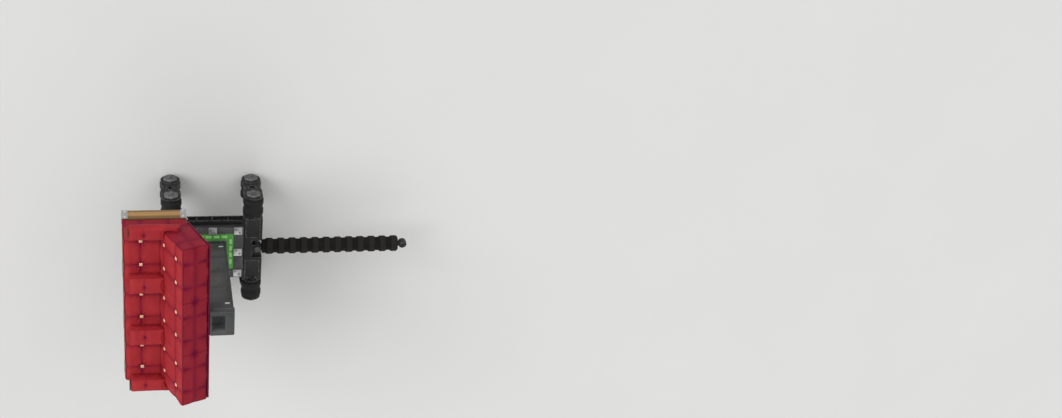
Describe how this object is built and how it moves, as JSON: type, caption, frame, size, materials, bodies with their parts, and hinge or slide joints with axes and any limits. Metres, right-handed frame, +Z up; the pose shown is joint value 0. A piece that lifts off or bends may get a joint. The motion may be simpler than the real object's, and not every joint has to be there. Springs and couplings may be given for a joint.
{
  "type": "floorless roller coaster car",
  "caption": "Floorless roller coaster car: tufted bench seat on a post above a wheeled chassis that grips two rail tubes, with a bellows drawbar behind.",
  "frame": {"origin": "on the floor under the lower wheels, below the middle of the whole car with its drawbar", "axes": "+X towards the riders' left, the front of the car faces -Y, +Z up"},
  "size_m": [1.908, 2.9709, 1.9958],
  "materials": {
    "upholstery": "tufted, satin",
    "wine_cover": "smooth, satin, on a panel",
    "wood": "varnished",
    "light_steel": "worn",
    "grey_steel": "worn",
    "green_paint": "satin",
    "grey_paint": "satin, worn",
    "tyre": "matt polyurethane",
    "hub": "turned",
    "pin": "turned",
    "bellows": "matt",
    "dark_steel": "satin, worn"
  },
  "bodies": {
    "car": {"front_axle_beam": "dark_steel", "rear_axle_beam": "dark_steel", "side_beams": "dark_steel", "left_wheel_carriers": "dark_steel", "right_wheel_carriers": "dark_steel", "axle_caps": "grey_steel", "deck_box": "dark_steel", "deck_panel": "green_paint", "deck_brackets": "light_steel", "post": "grey_paint", "post_cap": "grey_paint", "seat_bracket": "dark_steel", "bench_channels": "dark_steel", "bench_base": "dark_steel", "bench_band": "wood", "band_caps": "light_steel", "left_seat_cushion": "upholstery", "middle_seat_cushion": "upholstery", "right_seat_cushion": "upholstery", "left_back_cushion": "upholstery", "middle_back_cushion": "upholstery", "right_back_cushion": "upholstery", "back_panel": "wine_cover", "armrests": "upholstery", "armrest_fronts": "wood", "front_coupler": "dark_steel", "coupling_pin": "pin"},
    "front_left_upper_wheel": {"front_left_upper_tyre": "tyre", "front_left_upper_hub": "hub"},
    "front_right_upper_wheel": {"front_right_upper_tyre": "tyre", "front_right_upper_hub": "hub"},
    "rear_left_upper_wheel": {"rear_left_upper_tyre": "tyre", "rear_left_upper_hub": "hub"},
    "rear_right_upper_wheel": {"rear_right_upper_tyre": "tyre", "rear_right_upper_hub": "hub"},
    "front_left_lower_wheel": {"front_left_lower_tyre": "tyre", "front_left_lower_hub": "hub"},
    "front_right_lower_wheel": {"front_right_lower_tyre": "tyre", "front_right_lower_hub": "hub"},
    "rear_left_lower_wheel": {"rear_left_lower_tyre": "tyre", "rear_left_lower_hub": "hub"},
    "rear_right_lower_wheel": {"rear_right_lower_tyre": "tyre", "rear_right_lower_hub": "hub"},
    "drawbar": {"drawbar": "dark_steel", "drawbar_bellows": "bellows"}
  },
  "joints": [
    {"name": "front_left_upper_spin", "type": "hinge", "parent": "car", "child": "front_left_upper_wheel", "pos_m": [0.5, -0.9995, 0.463], "axis": [1, 0, 0], "continuous": true},
    {"name": "front_right_upper_spin", "type": "hinge", "parent": "car", "child": "front_right_upper_wheel", "pos_m": [-0.5, -0.9995, 0.463], "axis": [1, 0, 0], "continuous": true},
    {"name": "rear_left_upper_spin", "type": "hinge", "parent": "car", "child": "rear_left_upper_wheel", "pos_m": [0.5, -0.1695, 0.463], "axis": [1, 0, 0], "continuous": true},
    {"name": "rear_right_upper_spin", "type": "hinge", "parent": "car", "child": "rear_right_upper_wheel", "pos_m": [-0.5, -0.1695, 0.463], "axis": [1, 0, 0], "continuous": true},
    {"name": "front_left_lower_spin", "type": "hinge", "parent": "car", "child": "front_left_lower_wheel", "pos_m": [0.5, -0.9995, 0.105], "axis": [1, 0, 0], "continuous": true},
    {"name": "front_right_lower_spin", "type": "hinge", "parent": "car", "child": "front_right_lower_wheel", "pos_m": [-0.5, -0.9995, 0.105], "axis": [1, 0, 0], "continuous": true},
    {"name": "rear_left_lower_spin", "type": "hinge", "parent": "car", "child": "rear_left_lower_wheel", "pos_m": [0.5, -0.1695, 0.105], "axis": [1, 0, 0], "continuous": true},
    {"name": "rear_right_lower_spin", "type": "hinge", "parent": "car", "child": "rear_right_lower_wheel", "pos_m": [-0.5, -0.1695, 0.105], "axis": [1, 0, 0], "continuous": true},
    {"name": "drawbar_yaw", "type": "hinge", "parent": "car", "child": "drawbar", "pos_m": [0, -0.1195, 0.463], "axis": [0, 0, 1], "range_deg": [-12, 12]}
  ]
}
